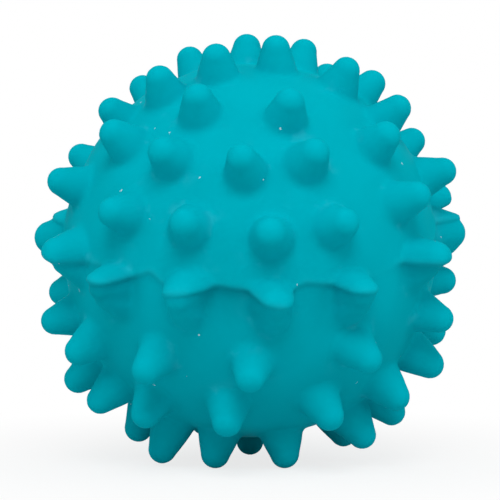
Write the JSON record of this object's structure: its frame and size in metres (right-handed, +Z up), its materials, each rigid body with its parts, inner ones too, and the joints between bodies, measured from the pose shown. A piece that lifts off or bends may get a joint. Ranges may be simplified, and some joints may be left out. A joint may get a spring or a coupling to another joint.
{
  "type": "sensory ball",
  "caption": "Hollow natural rubber ball with blunt nubs all over, a moulding seam and a push-in reed squeaker.",
  "frame": {"origin": "the centre of the ball", "axes": "+Z up as the ball stands on three nubs, -Y the front that the picture shows, +X to its right"},
  "size_m": [0.0894, 0.0899, 0.0882],
  "materials": {
    "rubber_skin": "satin natural rubber, one colour all through",
    "housing_plastic": "moulded plastic, satin",
    "inner_plastic": "moulded plastic, plain",
    "trough_plastic": "moulded plastic, amber",
    "reed_film": "thin springy film"
  },
  "bodies": {
    "ball": {"ball_skin": "rubber_skin", "squeaker_housing": "housing_plastic", "squeaker_cap": "inner_plastic", "reed_tube": "inner_plastic", "reed_trough": "trough_plastic", "reed_wedge": "inner_plastic"},
    "reed_tongue": {"reed": "reed_film"}
  },
  "joints": [
    {"name": "reed_flex", "type": "hinge", "parent": "ball", "child": "reed_tongue", "pos_m": [0, 0.03086, 0.01598], "axis": [-1, 0, 0], "range_deg": [-3.3, 3], "stiffness_Nm_per_rad": 0.004}
  ]
}
